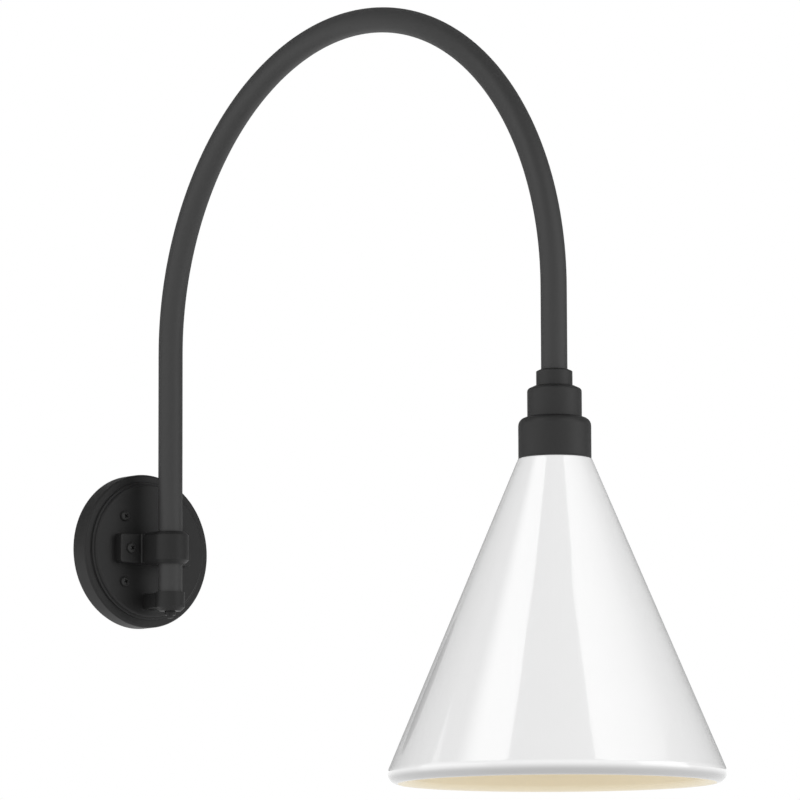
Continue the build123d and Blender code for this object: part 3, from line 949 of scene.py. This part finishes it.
def curved_card(radius, heights, first, last):
    """Upright card bent round the shade, between two heights and two azimuths in degrees."""
    bm = bmesh.new()
    side = Matrix.Rotation(math.radians(first), 3, "Z") @ Vector((0, -radius, 0)) + shade_middle
    ends = [bm.verts.new((side.x, side.y, height)) for height in heights]
    edge = bm.edges.new(ends)
    sweep = math.radians(last - first)
    bmesh.ops.spin(bm, geom=[*ends, edge], cent=shade_middle, axis=(0, 0, 1), angle=sweep, steps=48)
    return bm


ceiling_card = finish("ceiling card", grey(0.38), grey(0.4), (0.8, 0.9), 4 * mm, 300 * mm, 0.02 * mm)
grey_card = finish("grey card", grey(0.45), grey(0.47), (0.8, 0.9), 4 * mm, 300 * mm, 0.02 * mm)
ceiling = stage_card("ceiling", ceiling_card, round_card(ceiling_r, ceiling_centre))
ceiling.visible_camera = False
back = stage_card("back card", grey_card, curved_card(back_r, back_heights, *back_azimuths))
back.visible_camera = False

# %% [markdown]
# ## Soft boxes
# Two weak soft boxes stand low at the left and the right and model the black tube from its sides. Two
# stronger ones hang higher: the glossy cone leans back, so it mirrors what is above the camera, and the
# gap between these two is the darker wedge down its middle. They fade towards their outer ends, as a
# box with its lamp at one end does, so the bright band on the cone has one sharp edge and one soft one.
# Power follows from brightness and area, so a box can be resized freely.

# %% Lamp tools
def direction(azimuth, elevation):
    """Unit vector of a view direction in degrees: azimuth 0 is the front, 90 the right."""
    turn, rise = math.radians(azimuth), math.radians(elevation)
    level = math.cos(rise)
    return Vector((math.sin(turn) * level, -math.cos(turn) * level, math.sin(rise)))


def softbox(name, azimuth, elevation, distance, size, brightness, fade=(-2.0, -1.0)):
    """Area lamp at a direction from the shade, facing it, dark to bright between two places across it."""
    data = bpy.data.lights.new(name, "AREA")
    data.shape = "RECTANGLE"
    data.size, data.size_y = size
    data.energy = brightness * math.pi * size[0] * size[1]
    data.use_nodes = True
    nodes, links = data.node_tree.nodes, data.node_tree.links
    where = nodes.new("ShaderNodeNewGeometry")
    split = nodes.new("ShaderNodeSeparateXYZ")
    glow = nodes.new("ShaderNodeMapRange")
    glow.interpolation_type = "SMOOTHSTEP"
    glow.inputs["From Min"].default_value, glow.inputs["From Max"].default_value = fade
    links.new(where.outputs["Parametric"], split.inputs[0])
    links.new(split.outputs["X"], glow.inputs["Value"])
    links.new(glow.outputs["Result"], nodes["Emission"].inputs["Strength"])
    lamp = bpy.data.objects.new(name, data)
    scene.collection.objects.link(lamp)
    out = direction(azimuth, elevation)
    aimed = (-out).to_track_quat("Z", "Y").to_matrix().to_4x4() @ Matrix.Rotation(math.pi, 4, "Y")
    lamp.matrix_world = Matrix.Translation(shade_middle + out * distance) @ aimed
    lamp.visible_camera = False
    print(name, "at azimuth", azimuth, "elevation", elevation)


# %% Lamps
softbox("left soft box", -118, -6, 1.8, (2.0, 1.2), 0.45)
softbox("right soft box", 36, 4, 1.8, (1.4, 1.2), 1.1)
softbox("upper left box", -104, 46, 1.45, (0.95, 0.75), 1.85, (0.0, 0.5))
softbox("upper right box", 33, 46, 1.45, (1.75, 0.75), 1.7, (1.1, -0.1))

# %% [markdown]
# ## Camera
# The picture was taken from well away with a long lens, a little below the lamp, so the cone's mouth
# just shows. The camera looks along an azimuth and an elevation at a point in the arm's plane.

# %% Camera
view_azimuth = -39.621
view_elevation = -7.278
view_roll = math.radians(-0.212)
view_distance = 4.1682
aim = Vector((0, -0.3460, 0.0929))
sensor = 36
focal_px = 5329.6
image_px = 800
camera_data = bpy.data.cameras.new("camera")
camera_data.sensor_width = sensor
camera_data.lens = sensor * focal_px / image_px
camera = bpy.data.objects.new("camera", camera_data)
scene.collection.objects.link(camera)
towards = direction(view_azimuth, view_elevation)
camera.location = aim + towards * view_distance
turn = (-towards).to_track_quat("-Z", "Y").to_matrix().to_4x4() @ Matrix.Rotation(view_roll, 4, "Z")
camera.rotation_euler = turn.to_euler()
scene.camera = camera
scene.view_settings.view_transform = "Standard"
print("lens", round(camera_data.lens, 1), "mm at", [round(v, 3) for v in camera.location])
